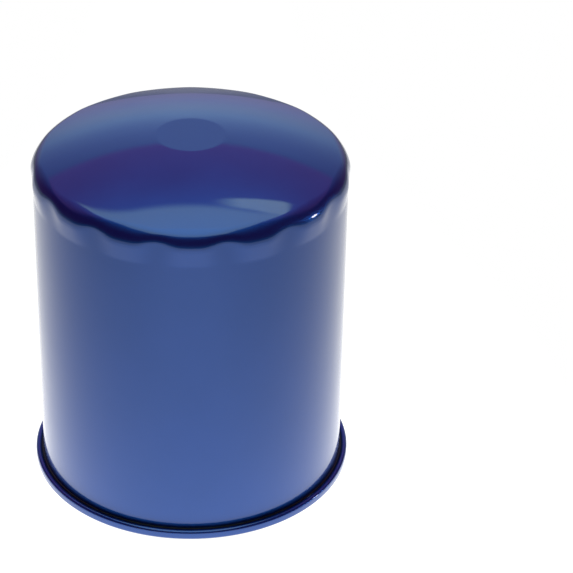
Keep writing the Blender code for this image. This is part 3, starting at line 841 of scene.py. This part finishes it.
build_can()
build_lid()
build_seam_bead()
build_gasket()
build_plate()
build_flap()
build_end_caps()
build_potting()
build_media()
build_beads()
build_tube()
build_cage()
build_poppet()
build_coil()
build_coil_cap()
dress_kept_nodes()


# ---------------------------------------- camera, floor and light

# The glow low behind the filter: its colour by height from the horizon up, and how soon it fades
# to the sides.
GLOW = (
    (0.0, (0.295, 0.36, 0.475)),
    (0.10, (0.35, 0.49, 0.66)),
    (0.21, (0.42, 0.71, 0.82)),
    (0.28, (0.39, 0.78, 1.0)),
    (0.36, (0.29, 0.59, 0.83)),
    (0.45, (0.235, 0.47, 0.70)),
    (0.515, (0.22, 0.45, 0.66)),
    (0.55, (0.0, 0.0, 0.0)),
)
GLOW_START = (0.0, 0.3)
GLOW_FADE = -2.6

# The softbox and the bright strip at its back, laid out on a plane overhead: the soft edges of each
# side, as shares of the plane's height.
BOX_BACK, BOX_FRONT = (0.585, 0.655), (-0.76, -0.62)
BOX_LEFT, BOX_RIGHT = (-0.50, -0.43), (0.36, 0.42)
STRIP_BACK, STRIP_FRONT = (0.64, 0.67), (0.60, 0.65)
STRIP_LEFT, STRIP_RIGHT = (0.06, 0.20), (0.37, 0.42)
BOX_WAIST, BOX_FLARE = 0.2, 3.0
BOX_LEVEL, STRIP_LEVEL = 1.6, 2.2
STRIP_SLANT = 0.33
BOX_TINT = (0.80, 1.04, 0.98)
BOX_COVER = 0.7

LAMP_WAY = (0.998, 0.026, 0.050)
LAMP_EDGE = (math.cos(math.radians(4.0)), math.cos(math.radians(2.5)))
LAMP_LEVEL = 26
BELOW_EDGE, BELOW_LEVEL = (-0.10, -0.05), 0.85
DUSK_EDGE = (0.515, 0.55)
DARK_TINT, DUSK_TINT = (0.10, 0.005, 0.09), (0.36, 0.12, 0.38)
BACKDROP = (0.93, 0.93, 0.93)
BLACK, WHITE = (0, 0, 0), (1, 1, 1)
NEAR_HORIZON = 0.05


def glow_behind(nodes, x, y, z, behind):
    """A pale band low behind the filter, brightest straight behind it."""
    side = nodes.math("DIVIDE", x, nodes.math("MAXIMUM", y, NEAR_HORIZON))
    fade = nodes.math("POWER", math.e, nodes.product(side, side, GLOW_FADE))
    ramp = nodes.add("ShaderNodeValToRGB", {"Fac": z})
    levels = ramp.color_ramp.elements
    levels[0].position, levels[1].position = GLOW[0][0], GLOW[-1][0]
    for position, _ in GLOW[1:-1]:
        levels.new(position)
    for element, (_, colour) in zip(levels, GLOW):
        element.color = (*colour, 1)
    return nodes.mix(nodes.product(fade, behind), BLACK, ramp.outputs[0])


def softbox(nodes, x, y, z):
    """The level of the big softbox overhead and of the bright strip at its bowed back edge."""
    high = nodes.math("MAXIMUM", z, NEAR_HORIZON)
    across, deep = nodes.math("DIVIDE", x, high), nodes.math("DIVIDE", y, high)
    flare = nodes.math("SUBTRACT", nodes.math("ABSOLUTE", across), BOX_WAIST)
    flare = nodes.math("MAXIMUM", flare, 0.0)
    bowed = nodes.math("SUBTRACT", deep, nodes.product(flare, flare, BOX_FLARE))
    box = nodes.product(nodes.falls(bowed, BOX_BACK, BOX_LEVEL), nodes.rises(deep, BOX_FRONT))
    box = nodes.product(box, nodes.rises(across, BOX_LEFT), nodes.falls(across, BOX_RIGHT))
    slanted = nodes.math("SUBTRACT", deep, nodes.product(across, STRIP_SLANT))
    strip = nodes.falls(slanted, STRIP_BACK, STRIP_LEVEL)
    strip = nodes.product(strip, nodes.rises(deep, STRIP_FRONT))
    strip = nodes.product(strip, nodes.rises(across, STRIP_LEFT), nodes.falls(across, STRIP_RIGHT))
    return nodes.math("MAXIMUM", box, strip)


def build_world():
    """A dim studio that reflections see: the glow behind, the softbox overhead, a small lamp on the
    right, and a pale half below for views from underneath. The camera sees a plain backdrop."""
    world = bpy.data.worlds.new("studio")
    bpy.context.scene.world = world
    world.use_nodes = True
    nodes = Nodes(world.node_tree)
    way = nodes.add("ShaderNodeTexCoord").outputs["Generated"]
    x, y, z = nodes.add("ShaderNodeSeparateXYZ", {"Vector": way}).outputs
    behind = nodes.rises(y, GLOW_START)
    over = softbox(nodes, x, y, z)
    facing = nodes.add("ShaderNodeVectorMath", {0: way, 1: LAMP_WAY}, operation="DOT_PRODUCT")
    lamp = nodes.rises(facing.outputs["Value"], LAMP_EDGE, LAMP_LEVEL)
    below = nodes.falls(z, BELOW_EDGE, BELOW_LEVEL)
    dark = nodes.mix(nodes.product(behind, nodes.rises(z, DUSK_EDGE)), DARK_TINT, DUSK_TINT)
    dark = nodes.mix(nodes.math("MULTIPLY", over, BOX_COVER, clamp=True), dark, BLACK)
    total = nodes.added(dark, glow_behind(nodes, x, y, z, behind))
    total = nodes.added(total, nodes.scaled(over, BOX_TINT))
    total = nodes.added(total, nodes.scaled(nodes.math("ADD", below, lamp), WHITE))
    shown = nodes.mix(nodes.camera_ray(), total, BACKDROP)
    nodes.set(world.node_tree.nodes["Background"].inputs["Color"], shown)


# The floor's painted light, in metres from the axis: a painted pool of light near the filter, and a
# painted shadow ring under the seam.
FLOOR_SIZE = 12
FAR_EDGE = (0.46, 0.64)
FRONT_TO_BACK, FRONT_LEVEL, BACK_LEVEL = (-0.3, 0.3), 0.12, 0.3
PAINTED_GLOW_LEVEL, PAINTED_GLOW_FADE = 0.55, -0.065
SHADOW_RING_INNER = (SEAM_RADIUS - 11 * MM, SEAM_RADIUS - 8 * MM)
SHADOW_RING_OUTER = (SEAM_RADIUS - 4.0 * MM, SEAM_RADIUS - 1.2 * MM)
SHADOW_RING_LEVEL = 0.2
SIDES_EDGE, SIDES_LEVEL = (0.04, 0.2), 0.74
PLAIN_EDGE = (0.048, 0.052)


def painted_floor_light(nodes):
    """How brightly the floor glows, as painted light: a painted pool of light near the filter, less
    far off and to the sides, and a painted shadow ring under the seam. The camera sees it plain."""
    x, y, _ = nodes.add("ShaderNodeSeparateXYZ", {"Vector": nodes.place()}).outputs
    reach = nodes.math("SQRT", nodes.math("ADD", nodes.product(x, x), nodes.product(y, y)))
    dim = nodes.remap(y, *FRONT_TO_BACK, FRONT_LEVEL, BACK_LEVEL)
    far = nodes.remap(reach, *FAR_EDGE, 1.0, dim, smooth=True)
    # A painted pool of light on the floor, fading out from the seam.
    fade = nodes.math("DIVIDE", nodes.math("SUBTRACT", reach, SEAM_RADIUS), PAINTED_GLOW_FADE)
    painted_glow = nodes.math("POWER", math.e, fade)
    level = nodes.math("ADD", far, nodes.product(painted_glow, PAINTED_GLOW_LEVEL))
    # A painted contact shadow: the floor glows less in a ring under the seam.
    inner = nodes.remap(reach, *SHADOW_RING_INNER, 1.0, SHADOW_RING_LEVEL, smooth=True)
    ring = nodes.math("MAXIMUM", inner, nodes.rises(reach, SHADOW_RING_OUTER))
    sides = nodes.remap(nodes.math("ABSOLUTE", x), *SIDES_EDGE, 1.0, SIDES_LEVEL)
    plain = nodes.product(nodes.camera_ray(), nodes.remap(reach, *PLAIN_EDGE, 0, 1))
    return nodes.math("MAXIMUM", nodes.product(level, ring, sides), plain)


def build_floor():
    """A pale floor that glows, with a painted pool of light near the filter and a painted shadow
    ring under the seam, and can be seen through from below.
    """
    bpy.ops.mesh.primitive_plane_add(size=FLOOR_SIZE, location=(0, 0, -0.05 * MM))
    floor = bpy.context.object
    floor.name = "floor"
    made = bpy.data.materials.new("floor")
    made.use_nodes = True
    made.node_tree.nodes.clear()
    nodes = Nodes(made.node_tree)
    glow = nodes.add("ShaderNodeEmission", {"Color": WHITE, "Strength": painted_floor_light(nodes)})
    clear = nodes.add("ShaderNodeBsdfTransparent")
    side = nodes.add("ShaderNodeNewGeometry").outputs["Backfacing"]
    shown = nodes.add("ShaderNodeMixShader", {0: side, 1: glow.outputs[0], 2: clear.outputs[0]})
    nodes.add("ShaderNodeOutputMaterial", {"Surface": shown.outputs[0]})
    wear(floor, made)


# The camera's place, its turn in degrees, and its lens, as fitted to the can's outline.
CAMERA_PLACE = (0, -0.60833, 0.43328)
CAMERA_YAW, CAMERA_PITCH, CAMERA_ROLL = 2.716, 31.4925, 1.2105
CAMERA_LENS, CAMERA_SENSOR = 147.79, 36


def build_camera():
    """The camera stands in front and above, and looks a little to the right of the filter."""
    yaw, pitch, roll = map(math.radians, (CAMERA_YAW, CAMERA_PITCH, CAMERA_ROLL))
    level = Vector((math.cos(yaw), -math.sin(yaw), 0))
    forward = Vector((math.sin(yaw), math.cos(yaw), 0))
    ahead = forward * math.cos(pitch) - Vector((0, 0, math.sin(pitch)))
    up = level.cross(ahead)
    right = level * math.cos(roll) + up * math.sin(roll)
    up = up * math.cos(roll) - level * math.sin(roll)
    data = bpy.data.cameras.new("camera")
    data.lens = CAMERA_LENS
    data.sensor_width = CAMERA_SENSOR
    data.clip_start = 0.01
    camera = bpy.data.objects.new("camera", data)
    axes = Matrix((right, up, -ahead)).transposed().to_4x4()
    camera.matrix_world = Matrix.Translation(CAMERA_PLACE) @ axes
    bpy.context.scene.collection.objects.link(camera)
    bpy.context.scene.camera = camera


bpy.context.scene.view_settings.view_transform = "Standard"
build_world()
build_floor()
build_camera()
